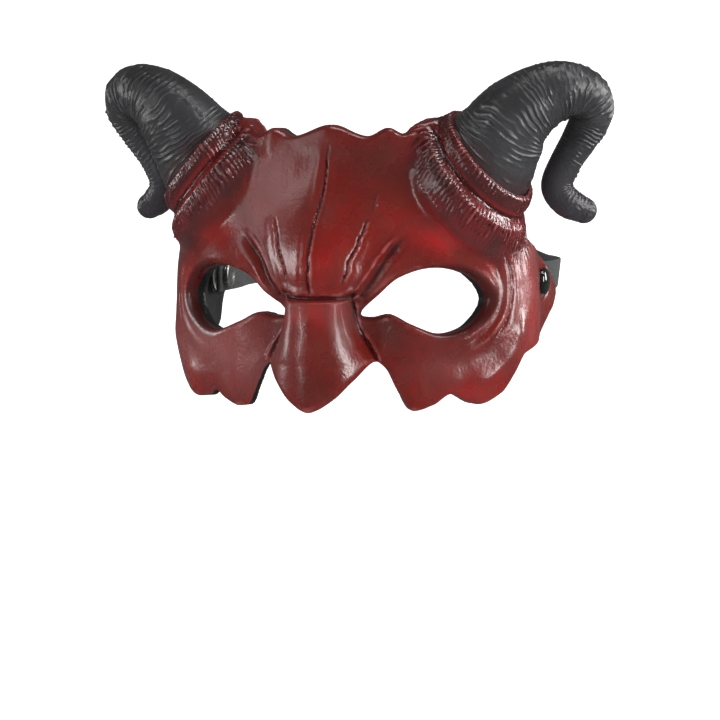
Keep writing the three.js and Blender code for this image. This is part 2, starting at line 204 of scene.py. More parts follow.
def relief(size, z, inset):
    brow = (12.5 - inset) * bell(z, 8, 24) * bell(size, 0, 12.7) * smoothstep(z, -6, 0)
    socket = 4 * bell(size, 15, 9) * bell(z, -17, 16)
    return brow + nose_height(size, z, inset) - socket + 3.5 * bell(z, 70, 12)


def outer_radius(size, z):
    return dome_radius(size, z) + relief(size, z, 0)


def wall_thickness(size):
    return lerp(8.5, 5.6, smoothstep(size, 60, 85))


def inner_radius(size, z):
    return dome_radius(size, z) + relief(size, z, 2.5) - wall_thickness(size)


# ---- lines drawn on the face
def segment_distance(s, z, a, b):
    """Distance of points from a segment, how far along it they fall, and their side of it."""
    d = b - a
    t = np.clip(((s - a[0]) * d[0] + (z - a[1]) * d[1]) / max(d @ d, 1e-9), 0, 1)
    ds, dz = s - a[0] - t * d[0], z - a[1] - t * d[1]
    return ds * ds + dz * dz, t, d[0] * dz - d[1] * ds


def closed_distance(s, z, outline):
    """Signed distance to a closed outline, negative inside it."""
    best = np.full(s.shape, 1e9)
    inside = np.zeros(s.shape, bool)
    for a, b in zip(outline, np.roll(outline, -1, axis=0)):
        best = np.minimum(best, segment_distance(s, z, a, b)[0])
        if a[1] != b[1]:
            crosses = (a[1] > z) != (b[1] > z)
            inside ^= crosses & (s < a[0] + (z - a[1]) / (b[1] - a[1]) * (b[0] - a[0]))
    return np.sqrt(best) * np.where(inside, -1, 1)


class Table:
    """Values on a regular grid of (angle, height), read between its points."""

    def __init__(self, low, high, step):
        self.low, self.step = np.array(low, float), np.array(step, float)
        axes = [np.arange(a, b + c, c) for a, b, c in zip(low, high, step)]
        self.angle, self.z = np.meshgrid(*axes, indexing="ij")
        self.values = np.zeros(self.angle.shape)

    def read(self, angle, z):
        x = np.clip((angle - self.low[0]) / self.step[0], 0, self.values.shape[0] - 1.001)
        y = np.clip((z - self.low[1]) / self.step[1], 0, self.values.shape[1] - 1.001)
        i, j = x.astype(int), y.astype(int)
        u, v = x - i, y - j
        t = self.values
        return (t[i, j] * (1 - u) * (1 - v) + t[i + 1, j] * u * (1 - v)
                + t[i, j + 1] * (1 - u) * v + t[i + 1, j + 1] * u * v)


def outline_tables():
    angles = np.arange(0, END_ANGLE + 0.1, 0.6)
    top = np.stack([angles * DEG, through(TOP_EDGE, angles)], 1)
    bottom = np.stack([angles * DEG, through(BOTTOM_EDGE, angles)], 1)
    whole = np.vstack([top, bottom[::-1], bottom[1:] * (-1, 1), top[:0:-1] * (-1, 1)])
    edge = Table((0, -60), (112, 96), (0.5, 0.75))
    edge.values = closed_distance(edge.angle * DEG, edge.z, whole)
    eye = Table((0, -30), (64, 20), (0.35, 0.5))
    outline = catmull(EYE, 6, closed=True) * (DEG, 1)
    eye.values = closed_distance(eye.angle * DEG, eye.z, outline)
    return edge, eye


EDGE, EYE_HOLE = outline_tables()

# Folds and creases: points (angle, height), then (offset to one side, width, height of the ridge).
# A positive offset is on the left of the line as it is drawn, and a groove has a negative height.
SOCKET_FOLD = [
    (34, 29), (38.8, 27.2), (43.2, 24.8), (48.3, 20.5), (51.8, 17.2), (54.1, 13.4), (55.6, 7.7), (55.9, 1.2),
    (55.4, -6.6), (53.6, -13.6), (50.8, -18.8), (47.2, -23.6), (42, -27.3), (36.5, -28.6)]
SOCKET_CREASE = [
    (50.5, 20), (54.8, 14), (57.3, 7.6), (57.9, 0.5), (57.2, -6.7), (55.2, -14.4), (51.8, -20.4), (47, -25.8)]
RIM_FOLD = [
    (36, 12.6), (43.3, 13), (46.8, 11.7), (50.3, 8.6), (52.4, 4.9), (53.3, 0.8), (53.2, -3.6), (52.1, -8.8),
    (49.9, -14), (46.4, -18), (42.1, -21.3), (36.5, -22.6)]
V_FOLD = [(11.6, -3.6), (15.7, 4), (19.3, 12.2), (23.3, 18.6), (27, 25)]
FROWN_LEFT = [
    (16.2, 32.5), (15.4, 29.6), (14.3, 26.6), (13.3, 23.7), (12.4, 19.5), (11.4, 16), (9.9, 12.3), (8.8, 9.5),
    (8.3, 6.2), (7.2, 2.6)]
FROWN_RIGHT = [
    (15, 31), (13.9, 28.4), (13.2, 25.4), (11.9, 22.2), (11.5, 19.4), (10.6, 16.4), (9.1, 12), (9, 8.6),
    (8.1, 5), (7.6, 1.6)]
FROWN_TIP = [(18.7, 42.5), (17.6, 38.5), (16.8, 34.1), (15.6, 32)]
CENTRE_LINE = [
    (0.7, 61.5), (0.3, 51.3), (0.1, 41.2), (-0.6, 31.2), (-1.1, 21.3), (-0.9, 11.5), (-0.9, 4), (-0.5, -2)]
ROOT_CREASE = [
    (-11.2, 0.8), (-8.6, -1.6), (-5.4, -3), (0, -3.1), (5, -3.1), (8.6, -3), (10.8, -1.4), (12.2, 1)]
NOSE_WING = [
    (9.6, -4), (10.4, -8), (10.5, -12), (11.2, -15.8), (12.9, -19.5), (15, -23.6), (16.8, -28.5), (17.8, -32.5)]
CHEEK_ROLL = [(62, -8), (60, -22), (53, -35), (42, -39.5), (32, -38)]


def add_line(table, points, profile, side, wander, seed, taper):
    """Adds the cross section `profile` along a smooth line, which strays sideways by up to `wander`
    and dies away over the two `taper` lengths at its ends."""
    line = catmull(points, 5) * (side * DEG, 1)
    reach = max(abs(offset) + 2.6 * width for offset, width, height in profile) + 1
    s = table.angle * DEG
    near = np.nonzero((s > line[:, 0].min() - reach) & (s < line[:, 0].max() + reach)
                      & (table.z > line[:, 1].min() - reach) & (table.z < line[:, 1].max() + reach))
    s, z = s[near], table.z[near]
    s = s + wander * (noise((s / 5, z / 5), seed) - 0.5) * 2
    z = z + wander * (noise((s / 5, z / 5), seed + 50) - 0.5) * 2
    lengths = lengths_along(line)
    best = np.full(s.shape, 1e9)
    along = np.zeros(s.shape)
    turn = np.ones(s.shape)
    for i in range(len(line) - 1):
        squared, t, cross = segment_distance(s, z, line[i], line[i + 1])
        closer = squared < best
        best[closer] = squared[closer]
        along[closer] = (lengths[i] + t * (lengths[i + 1] - lengths[i]))[closer]
        turn[closer] = np.sign(cross[closer]) * side
    distance = np.sqrt(best) * turn
    fade = smoothstep(along, 0, taper[0]) * smoothstep(lengths[-1] - along, 0, taper[1])
    for offset, width, height in profile:
        table.values[near] += height * fade * bell(distance, offset, width)


def detail_table():
    """Height of every fold, crease and wave above the plain wall."""
    table = Table((-106, -58), (106, 96), (0.2, 0.3))
    for side, seed, deep in ((1, 11, 1), (-1, 31, 0.4)):
        for points, profile, wander, offset, taper in (
                (SOCKET_FOLD, [(0, 2.2, 1.15 * deep), (-4.2, 2.6, -0.4 * deep)], 0.35, 0, (12, 22)),
                (SOCKET_FOLD[:5], [(0, 0.8, 0.9 * deep), (2.2, 1.3, -1.2 * deep)], 0.3, 5, (3, 6)),
                (SOCKET_CREASE, [(0, 0.5, -0.8 * deep), (2.6, 2, 0.5 * deep)], 0.3, 6, (7, 18)),
                (RIM_FOLD, [(0, 1.6, 0.55 * deep)], 0.3, 1, (10, 10)),
                (V_FOLD, [(0, 2.2, -1.5), (0, 0.5, -0.3), (3.2, 1.0, 0.9), (-5, 3, 0.8)], 0.4, 2, (2, 12)),
                (NOSE_WING, [(0, 0.55, -0.9), (1.3, 0.6, 0.7)], 0.3, 3, (3, 3)),
                (CHEEK_ROLL, [(0, 5.5, 2.0 * deep)], 0.6, 4, (14, 12))):
            add_line(table, points, profile, side, wander, seed + offset, taper)
    for points, profile, side, wander, seed, taper in (
            (FROWN_LEFT, [(0, 0.42, -0.9), (0.95, 0.42, 0.75), (3, 2, 0.4)], -1, 0.3, 3, (6, 5)),
            (FROWN_RIGHT, [(0, 0.45, -1.0), (1.0, 0.45, 0.9), (3, 2, 0.5)], 1, 0.3, 4, (4, 5)),
            (FROWN_TIP, [(0, 0.5, 0.5), (-1, 0.5, -0.3)], 1, 0.2, 7, (4, 3)),
            (CENTRE_LINE, [(0, 0.5, -1.3), (1.1, 0.5, 0.6), (3, 2.4, 0.6), (-4, 3, 0.8)], 1, 0.3, 5, (7, 2)),
            (ROOT_CREASE, [(0, 0.85, -2.6), (2.6, 1.4, 0.9), (-1.5, 0.5, 0.5)], 1, 0.2, 6, (4, 4))):
        add_line(table, points, profile, side, wander, seed, taper)
    s = table.angle * DEG
    wave = noise((s / 13, table.z / 13), 21) + 0.5 * noise((s / 6, table.z / 6), 22) - 0.75
    table.values += 0.55 * wave
    size = np.abs(table.angle)
    for middle, width in ((28, 4.2), (48.5, 5)):
        table.values += 1.5 * bell(size, middle, width) * smoothstep(table.z, -26, -44)
    for middle, width in ((21.8, 3.4), (0, 5.5)):
        table.values += 1.3 * bell(size, middle, width) * smoothstep(table.z, 50, 66)
    return table


DETAIL = detail_table()

# ---- seat of a horn
HORN_LINE = catmull([h[:3] for h in HORN], 60)
SEAT = HORN_LINE[0]
AXIS = np.array(SEAT_AXIS) / np.linalg.norm(SEAT_AXIS)
LEAN = np.array(COLLAR_LEAN) / (np.array(COLLAR_LEAN) @ AXIS)
ACROSS = np.array((0, -1, 0)) + AXIS * AXIS[1]
ACROSS = ACROSS / np.linalg.norm(ACROSS)
BESIDE = np.cross(AXIS, ACROSS)
RINGS = 90  # wrinkles round a collar
SEAT_FLARE, SEAT_DEPTH = 0.43, 16  # slope and depth of the room a collar leaves for its horn


def wrinkles(turn, height, seed):
    """Folded skin round a collar, from 0 in the creases to 1 on the folds."""
    around = turn / (2 * math.pi)
    phase = around * RINGS * math.pi + 3.4 * noise((around * 24, height / 7 + 9), seed, (24, 16))
    phase = phase + 1.8 * noise((around * 60, height / 3 + 9), seed + 1, (60, 16))
    fold = 1 - np.abs(np.cos(phase)) ** 0.7
    size = noise((around * 40, height / 3.5 + 9), seed + 2, (40, 16))
    gap = noise((around * 17, height / 6 + 9), seed + 3, (17, 16))
    return fold * (0.15 + 1.5 * size * smoothstep(gap, 0.15, 0.6))


def collar_field(p, side, fine):
    """A collar's field, its wrinkles, groove and beads, the place round and along it, and its socket."""
    q = (p * (side, 1, 1)) - SEAT
    height = q @ AXIS
    off = q - height[:, None] * LEAN
    radius = np.linalg.norm(off, axis=1)
    turn = np.arctan2(off @ BESIDE, off @ ACROSS)
    profile = through(COLLAR, height)
    field = (radius - profile) * 0.94
    field = round_max(field, height - COLLAR_TOP, 1.1)
    if fine:
        reach = 3 + 6 * noise((turn / math.pi * 17, height * 0), 9, (34, 4))
        strength = sum(tall * bell(height, middle, spread) for middle, spread, tall in (
            (0.2, 1.6, 1.3), (-3.4, 3.2, 1.0), (-11.5, 2.2, 1.5), (-16, 5, 1.2)))
        strength = strength * np.exp(-(np.maximum(field - 0.5, 0) / reach) ** 2)
        groove = 0.9 * bell(height, -7.9, 0.8) * np.exp(-(field / 4) ** 2)
        bead = (0.9 * bell(height, 0.1, 0.8) + 0.8 * bell(height, -11, 0.9)) * np.exp(-(field / 3) ** 2)
    else:
        strength = groove = bead = np.zeros(len(p))
    axial = np.linalg.norm(q - height[:, None] * AXIS, axis=1)
    flare = axial - HORN[0][3] - GAP - SEAT_FLARE * (height + GAP)
    room = np.maximum(np.maximum(-GAP - height, flare * 0.92), height - SEAT_DEPTH)
    bore = np.maximum(-SPIGOT_LENGTH - GAP - height, axial - SPIGOT_RADIUS - GAP)
    return field, strength, groove, bead, turn, height, np.minimum(room, np.maximum(bore, height))


def rivet_cuts(p):
    """The dimple under a rivet's cap, and the flat and bore behind it."""
    reach = np.abs(p[:, 0])
    radius = np.hypot(p[:, 1], p[:, 2])
    dimple = np.maximum(OUTER_FACE - reach, radius - 8 - np.maximum(reach - OUTER_FACE, 0) / 16)
    flat = np.maximum(np.maximum(reach - INNER_FACE, 60 - reach), radius - 8.5)
    bore = np.maximum(radius - BORE_RADIUS, 60 - reach)
    return dimple, np.minimum(flat, bore)


def shell_field(p, fine=False):
    """Distance in millimetres from the surface of the face shell, negative inside it."""
    x, y, z = p.T
    signed = face_angle(p)
    size = np.abs(signed)
    radius = np.hypot(x, y)
    outer = outer_radius(size, z) + DETAIL.read(signed, z) * (1 if fine else 0.85)
    inner = inner_radius(size, z)
    edge = EDGE.read(size, z)
    eye = np.where(size < 62, EYE_HOLE.read(size, z), 20)
    depth = np.clip((radius - inner) / wall_thickness(size), 0, 1)
    eye = eye + 2.2 * smoothstep(size, 42, 50) * (1 - depth)
    field = round_max(radius - outer, edge, 2.4)
    for side, seed in ((1, 60), (-1, 80)):
        mine = x * side > COLLAR_REACH
        part, strength, groove, bead, turn, height, room = collar_field(p[mine], side, fine)
        near = field[mine]
        joined = soft_min(near, part, 5)
        if fine:
            close = np.exp(-(np.maximum(np.abs(joined) - 1, 0) / 2) ** 2)
            folds = wrinkles(turn, height, seed)
            joined = joined + (groove - strength * (folds - 0.45) - bead * (0.15 + folds)) * close
        field[mine] = np.maximum(joined, -room)
    field = round_max(field, -eye, 3.0)
    field = round_max(field, inner - radius, 1.3)
    dimple, back = rivet_cuts(p)
    field = -soft_min(-field, dimple, 1.6)
    return np.maximum(field, -back)


def to_surface(p, fine, rounds=3, most=0.8):
    """Moves points onto the zero surface of the shell's field."""
    step = 0.12
    for _ in range(rounds):
        value = shell_field(p, fine)
        slope = np.stack([(shell_field(p + step * e, fine) - shell_field(p - step * e, fine)) / (2 * step)
                          for e in np.eye(3)], 1)
        move = value[:, None] * slope / np.maximum((slope ** 2).sum(1), 0.35)[:, None]
        length = np.linalg.norm(move, axis=1)
        p = p - move * (np.minimum(length, most) / np.maximum(length, 1e-9))[:, None]
    return p


def from_face(place):
    """Points in space from (angle, height, radius)."""
    turn, radius = np.radians(place[:, 0]), place[:, 2]
    return np.stack([radius * np.sin(turn), -radius * np.cos(turn), place[:, 1]], 1)


NET_LOW, NET_HIGH = np.array((-107, -57, 56)), np.array((107, 93, 128))  # angle, height, radius
CORNERS = ((0, 0), (1, 0), (1, 1), (0, 1))


def surface_net(cell):
    """Quads round the zero surface of the shell on a grid of angle, height and radius."""
    step = np.array((cell / DEG, cell, cell))
    counts = np.ceil((NET_HIGH - NET_LOW) / step).astype(int)
    grid = NET_LOW + step * np.argwhere(np.ones(counts, bool))
    field = shell_field(from_face(grid)).reshape(counts)
    cells = counts - 1
    total, hits = np.zeros((*cells, 3)), np.zeros(cells)
    for axis in range(3):
        for u, v in CORNERS:
            near = np.insert((u, v), axis, 0)
            far = near + np.eye(3, dtype=int)[axis]
            f0, f1 = (field[tuple(slice(c, c + n) for c, n in zip(corner, cells))] for corner in (near, far))
            cut = (f0 < 0) != (f1 < 0)
            hits += cut
            total += cut[..., None] * near
            total[..., axis] += cut * f0 / np.where(cut, f0 - f1, 1)
    used = hits > 0
    index = np.full(cells, -1)
    index[used] = np.arange(used.sum())
    place = np.argwhere(used) + total[used] / hits[used][:, None]
    solid = field < 0
    quads = []
    for axis in range(3):
        beside = [k for k in range(3) if k != axis]
        here, after = [slice(1, -1)] * 3, [slice(1, -1)] * 3
        here[axis], after[axis] = slice(0, -1), slice(1, None)
        first, second = solid[tuple(here)], solid[tuple(after)]
        for flip, where in ((False, first & ~second), (True, ~first & second)):
            at = np.argwhere(where)
            corners = []
            for corner in CORNERS:
                c = at.copy()
                c[:, beside] += 1 - np.array(corner)
                corners.append(index[tuple(c.T)])
            quad = np.stack(corners, 1)
            quads.append(quad[:, ::-1] if flip != (axis == 1) else quad)
    return from_face(NET_LOW + place * step), np.vstack(quads)


# ---- Blender meshes
def mesh_object(name, points, faces, material):
    """Smooth-shaded object from points in millimetres."""
    mesh = bpy.data.meshes.new(name)
    mesh.from_pydata((np.asarray(points) * MM).tolist(), [], faces)
    mesh.validate()
    mesh.materials.append(material)
    mesh.shade_smooth()
    obj = bpy.data.objects.new(name, mesh)
    bpy.context.scene.collection.objects.link(obj)
    return obj


def stands_for(piece, node, body):
    """Puts a finished piece in the place of a CAD node."""
    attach(piece, body)
    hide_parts(node)


def coordinates(mesh):
    co = np.zeros(len(mesh.vertices) * 3)
    mesh.vertices.foreach_get("co", co)
    return co.reshape(-1, 3) / MM


def set_coordinates(mesh, points):
    mesh.vertices.foreach_set("co", (points * MM).ravel())
    mesh.update()


def add_values(mesh, **values):
    """Stores a number at each point, for the material to read by its name."""
    for name, numbers in values.items():
        layer = mesh.attributes.new(name, "FLOAT", "POINT")
        layer.data.foreach_set("value", np.asarray(numbers, np.float32))


def grid_faces(rows, columns):
    """Quads between `rows` rings of `columns` points."""
    low, c = (k.ravel() for k in np.meshgrid(np.arange(rows - 1) * columns, np.arange(columns), indexing="ij"))
    n = (c + 1) % columns
    return np.stack([low + c, low + n, low + columns + n, low + columns + c], 1).tolist()


def end_faces(rows, columns):
    """One face over the first ring and one over the last."""
    return [list(range(columns))[::-1], list(range((rows - 1) * columns, rows * columns))]


def edge_curvature(mesh, points, rounds):
    """How far each point stands out from its neighbours along its normal, smoothed over the mesh."""
    edges = np.zeros(len(mesh.edges) * 2, np.int64)
    mesh.edges.foreach_get("vertices", edges)
    a, b = edges.reshape(-1, 2).T
    normal = np.zeros(len(points) * 3)
    mesh.vertices.foreach_get("normal", normal)
    count = len(points)
    degree = np.maximum(np.bincount(a, minlength=count) + np.bincount(b, minlength=count), 1)

    def average(values):
        total = np.zeros_like(values)
        for k in range(values.shape[1]):
            total[:, k] = (np.bincount(a, values[b, k], minlength=count)
                           + np.bincount(b, values[a, k], minlength=count))
        return total / degree[:, None]

    smooth = points
    for _ in range(rounds):
        smooth = average(smooth)
    stand = average(((points - smooth) * normal.reshape(-1, 3)).sum(1)[:, None])
    return (average(stand) if rounds > 2 else stand)[:, 0]


# ---- face shell
# Airbrushed patches and patches of painted light: angle (signed), height, spread along and across in
# millimetres, strength.
# Bright red airbrushing. Its last two patches, on the right temple and cheek, also paint the light that falls
# on that side.
WARM_AND_LIT = [
    (37, 22, 13, 5, 0.85), (-37, 23, 12, 5, 0.5), (0, -8, 11, 6, 0.6), (6, 18, 16, 12, 0.1),
    (24, 30, 12, 9, 0.35), (0, 8, 12, 8, 0.1), (46, -46, 18, 8, 0.45), (-50, -40, 10, 8, 0.3),
    (72, -22, 10, 12, 0.3), (50, 3, 4, 9, 0.5), (-52, 2, 5, 12, 0.5), (24, -40, 8, 8, 0.25),
    (66, 5, 10, 26, 0.5), (76, -16, 16, 16, 0.5)]
# Painted sheen: pale pink where the lacquer catches the lamps, on the left forehead and temple, the cheeks and
# the right temple.
SHEEN_PATCHES = [
    (-38, -24, 24, 13, 0.95), (-24, -32, 12, 14, 0.5), (-12, 42, 13, 22, 0.45), (-62, 24, 12, 22, 0.5),
    (60, 0, 9, 24, 0.6), (72, 0, 12, 22, 0.5), (-56, -34, 12, 12, 0.5), (40, -33, 14, 6, 0.4),
    (66, 30, 10, 14, 0.4)]
SOMBRE = [
    (14, 55, 16, 14, 0.75), (-12, 50, 10, 16, 0.4), (28, 48, 14, 12, 0.6), (20, -16, 12, 10, 0.55),
    (-18, -20, 10, 9, 0.3), (40, -24, 14, 6, 0.35), (-30, 60, 10, 10, 0.5), (4, -38, 7, 9, 0.35),
    (36, 8, 20, 3, 0.3)]
DRY = [(10, -10, 6, 9, 1), (-11, -9, 6, 8, 0.9), (0, -6, 14, 5, 0.6)]

SHELL_CELL = 1.34  # millimetres between the points of the shell's first mesh


def airbrush(points, patches):
    angle = face_angle(points)
    ripple = 6 * (noise(tuple((points / 9).T), 5) - 0.5)
    total = np.zeros(len(points))
    for middle, height, wide, tall, strength in patches:
        total += strength * np.exp(-(((angle - middle) * DEG + ripple) / wide) ** 2
                                   - ((points[:, 2] - height + ripple) / tall) ** 2)
    return np.clip(total, 0, 1)


def above_lining(points):
    """How far points stand outside the shell's inner face."""
    size = np.abs(face_angle(points))
    return np.hypot(points[:, 0], points[:, 1]) - inner_radius(size, points[:, 2])


def divide_outside(mesh, points):
    """Halves the edges of the painted side, which holds the fine relief."""
    keep = above_lining(points) > 1.6
    bm = bmesh.new()
    bm.from_mesh(mesh)
    bm.verts.ensure_lookup_table()
    edges = [e for e in bm.edges if keep[e.verts[0].index] and keep[e.verts[1].index]]
    bmesh.ops.subdivide_edges(bm, edges=edges, cuts=1, use_grid_fill=True, smooth=0)
    bm.to_mesh(mesh)
    bm.free()


def paint_collars(mesh, points):
    """Marks the parts of the collars, and returns where they are painted right round."""
    collar, valley, beads, over, ring = np.zeros((5, len(points)))
    for side in SIDES.values():
        mine = points[:, 0] * side > COLLAR_REACH
        field, _, _, bead, turn, height, _ = collar_field(points[mine], side, True)
        near = smoothstep(height, -28, -22) * np.exp(-(np.maximum(field - 1, 0) / 4) ** 2)
        patchy = noise((turn / math.pi * 4, height / 9 + 9), 70 + side, (8, 16))
        share = 0.4 if side > 0 else 1
        over[mine] = smoothstep(height, -20, -14) * (field > -1)
        collar[mine] = near
        beads[mine] = np.clip(bead, 0, 1)
        valley[mine] = bell(height, -7.6, 2.0) * near * smoothstep(patchy, 0.2, 0.7) * share
        ring[mine] = smoothstep(height, -6.5, -3.5) * near
    add_values(mesh, collar=collar, valley=valley, bead=beads, ring=ring)
    return over


def face_shell(material):
    vertices, quads = surface_net(SHELL_CELL)
    vertices = to_surface(vertices, False)
    shell = mesh_object("moulded_face", vertices, quads.tolist(), material)
    mesh = shell.data
    divide_outside(mesh, vertices)
    points = to_surface(coordinates(mesh), True, 4)
    set_coordinates(mesh, points)
    mesh.shade_smooth()
    size = np.abs(face_angle(points))
    painted = smoothstep(above_lining(points) / wall_thickness(size), 0.3, 0.62)
    eye = EYE_HOLE.read(np.minimum(size, 62), points[:, 2])
    # The bright patches also carry painted light on the right side, and the pinkish ones are painted sheen.
    # Stand and hollow feed the painted highlights and painted shade.
    add_values(mesh, stand=edge_curvature(mesh, points, 2) * 6, hollow=edge_curvature(mesh, points, 12) * 2,
               warm=airbrush(points, WARM_AND_LIT), sombre=airbrush(points, SOMBRE), dusk=airbrush(points, SHEEN_PATCHES),
               dry=airbrush(points, DRY), paint=np.maximum(painted, paint_collars(mesh, points)),
               rim=smoothstep(-eye, -4.5, -0.5) * smoothstep(size, 26, 44) * (size < 60))
    return shell


# ---- horns
HORN_ROWS, HORN_COLUMNS = 700, 128


def smooth_rows(rows, rounds):
    out = rows.copy()
    for _ in range(rounds * 6):
        out[1:-1] = out[1:-1] * 0.5 + (out[:-2] + out[2:]) * 0.25
    return out


def horn_sections():
    """Length travelled, middle, facing and radius of each section from the seat to the tip."""
    at, centre = evenly(HORN_LINE, HORN_ROWS)
    centre = smooth_rows(centre, 13)
    tangent = unit_rows(np.gradient(centre, axis=0))
    share = np.interp(at, lengths_along(HORN_LINE), np.linspace(0, 1, len(HORN_LINE)))
    facing = AXIS + (tangent - AXIS) * np.minimum(share / SEAT_BLEND, 1)[:, None]
    radius = through([(i / (len(HORN) - 1), h[3]) for i, h in enumerate(HORN)], share)
    return at, centre, unit_rows(smooth_rows(facing, 15)), radius


def spokes(tangents, turn):
    """Directions round each section, turned as little as they can be from one to the next."""
    across = ACROSS.copy()
    out = []
    for tangent in tangents:
        across = across - tangent * (across @ tangent)
        across /= np.linalg.norm(across)
        out.append(np.outer(np.cos(turn), across) + np.outer(np.sin(turn), np.cross(tangent, across)))
    return np.array(out)


def horn_mesh(name, side, material, seed):
    at, centre, tangent, radius = horn_sections()
    turn = np.arange(HORN_COLUMNS) * 2 * math.pi / HORN_COLUMNS
    s, a = np.meshgrid(at, turn, indexing="ij")
    lump = horn_relief(s, a, radius[:, None], at[-1], seed)
    out = spokes(tangent, turn)
    deep, wide = SPIGOT_LENGTH, SPIGOT_RADIUS
    foot = [centre[0] - AXIS * down + out[0] * size for down, size in (
        (deep - 0.4, wide - 0.8), (deep, wide - 0.2), (deep - 0.6, wide), (0.6, wide), (-0.05, wide + 0.6),
        (-0.05, 20))]
    tip = []
    for angle in np.radians(range(6, 90, 6)):
        reach = radius[-1] + lump[-1] * math.cos(angle)
        tip.append(centre[-1] + tangent[-1] * radius[-1] * math.sin(angle)
                   + out[-1] * (reach * math.cos(angle))[:, None])
    rings = foot + list(centre[:, None] + out * (radius[:, None] + lump)[..., None]) + tip
    ends = [centre[0] - AXIS * (deep - 0.4), centre[-1] + tangent[-1] * radius[-1]]
    points = np.vstack(rings + [ends]) * (side, 1, 1)
    base, last = len(points) - 2, len(points) - 1
    under, over = end_faces(len(rings), HORN_COLUMNS)
    faces = grid_faces(len(rings), HORN_COLUMNS)
    faces += [[base, b, c] for b, c in zip(under, under[1:] + under[:1])]
    faces += [[last, b, c] for b, c in zip(over, over[1:] + over[:1])]
    horn = mesh_object(name, points, [f[::-1] for f in faces] if side < 0 else faces, material)
    along = np.full(len(points), at[-1])
    along[:len(foot) * HORN_COLUMNS] = -1
    along[len(foot) * HORN_COLUMNS:][:s.size] = s.ravel()
    add_values(horn.data, along=along, stand=edge_curvature(horn.data, coordinates(horn.data), 2) * 6)
    return horn


def horn_relief(s, turn, radius, length, seed):
    """Wrinkles, swellings, the mould's parting line and the rough tip, in millimetres."""
    around = turn / (2 * math.pi)
    phase = s * math.pi / 2.15 + 4.5 * noise((around * 6, s / 13), seed + 7, (6, 24))
    phase = phase + 1.8 * noise((around * 22, s / 4), seed + 8, (22, 61))
    folds = 1 - np.abs(np.cos(phase)) ** 0.55
    patch = noise((around * 15, s / 3.2), seed + 2, (15, 71))
    small = noise((around * 30, s / 1.7), seed, (30, 113))
    patch = smoothstep(patch, 0.3, 0.8) + 0.35 * smoothstep(small, 0.4, 0.9)
    lower = smoothstep(s, length * 0.66, length * 0.8)
    inside = lerp(0.5 + 0.5 * np.cos(turn - lerp(0.1, 0.8, smoothstep(s, 8, 60))),
                  0.5 + 0.5 * np.cos(turn + 1.0), lower)
    tight = bell(s, length * 0.46, length * 0.14)
    strength = np.maximum(0.04 + 0.96 * inside ** 1.5, 0.4 * tight)
    lump = strength * (1.2 + 0.3 * tight) * (folds * patch - 0.2)
    seam = (turn - 5.55) * radius + 0.8 * (noise((s / 5, s * 0), seed + 5, (64, 2)) - 0.5)
    notch = smoothstep(noise((s / 2.2, s * 0), seed + 6, (97, 2)), 0.55, 0.75)
    lump = lump + (0.22 - 0.5 * notch) * bell(seam, 0, 0.6) * smoothstep(length - s, 30, 60)
    stipple = noise((around * 60, s / 0.9), seed + 3, (60, 211)) - 0.5
    lump = lump + stipple * (0.08 + 0.45 * smoothstep(s, length - 20, length - 4))
    lump = lump + 0.2 * (noise((around * 4, s / 14), seed + 4, (4, 16)) - 0.5)
    return lump * smoothstep(s, 0, 2.5) * np.clip(radius / 12, 0.6, 1)


# ---- rivets
STRAP_OUTER = INNER_FACE - 2.55  # clear of the washer and the eyelet's rolled edge
PLY = 1.2  # thickness of the elastic, which is doubled over at its ends
STRAP_INNER = STRAP_OUTER - 2 * PLY
STRAP_MIDDLE = STRAP_INNER + PLY / 2
POST_RADIUS = 2


def lathe(name, profile, side, material, count=72, closed=False):
    """Solid turned about X; profile is (radius, distance from the middle plane). A closed one is a ring."""
    turn = np.arange(count) * 2 * math.pi / count
    points = np.vstack([np.stack([np.full(count, side * x), r * np.cos(turn), r * np.sin(turn)], 1)
                        for r, x in profile])
    under, over = end_faces(len(profile), count)
    faces = grid_faces(len(profile), count)
    if closed:
        faces += [[over[k], over[k + 1 - count], (k + 1) % count, k] for k in range(count)]
    else:
        faces += [under, over]
    return mesh_object(name, points, [f[::-1] for f in faces] if side < 0 else faces, material)


def arc(radius, middle, start, end, count=8):
    """Profile points on an arc: middle is (radius from the axis, distance), angles in degrees."""
    turn = np.radians(np.linspace(start, end, count))
    return [(middle[0] + radius * math.cos(t), middle[1] + radius * math.sin(t)) for t in turn]


def cap_profile():
    base = OUTER_FACE + GAP
    dome = [(6.15 * math.cos(t), base + 0.95 + 2.65 * math.sin(t)) for t in np.linspace(0.12, 1.56, 22)]
    return [(BORE_RADIUS, base), (5.4, base)] + arc(0.4, (5.7, base + 0.4), -90, 0, 6) + dome


def post_profile():
    outer = STRAP_INNER - 1.1
    inner = outer - 1.2
    dish = [(0.6, inner + 0.35), (3.2, inner + 0.35), (3.9, inner), (4.9, inner)]
    head = arc(0.5, (5.5, inner + 0.5), -90, 0, 6) + arc(0.3, (5.7, outer - 0.3), 0, 90, 5)
    end = OUTER_FACE + 1.6
    shank = [(BORE_RADIUS, outer), (POST_RADIUS, outer + 0.3), (POST_RADIUS, end), (1.7, end + 0.3)]
    return dish + head + shank


def washer_profile():
    top = INNER_FACE - GAP
    return (arc(0.25, (2.55, top - 0.75), 180, 270, 4) + arc(0.3, (6.7, top - 0.7), -90, 0, 5)
            + arc(0.3, (6.7, top - 0.3), 0, 90, 5) + arc(0.25, (2.55, top - 0.25), 90, 180, 4))


def eyelet_profile():
    near, far = STRAP_INNER - 0.15, STRAP_OUTER + 0.15
    return ([(BORE_RADIUS, near - 0.25)] + arc(0.25, (2.6, near - 0.25), 180, 270, 4)
            + arc(0.25, (4.95, near - 0.25), -90, 90, 7) + [(3.1, near), (3.1, far)]
            + arc(0.25, (4.95, far + 0.25), -90, 90, 7) + arc(0.25, (2.6, far + 0.25), 90, 180, 4))


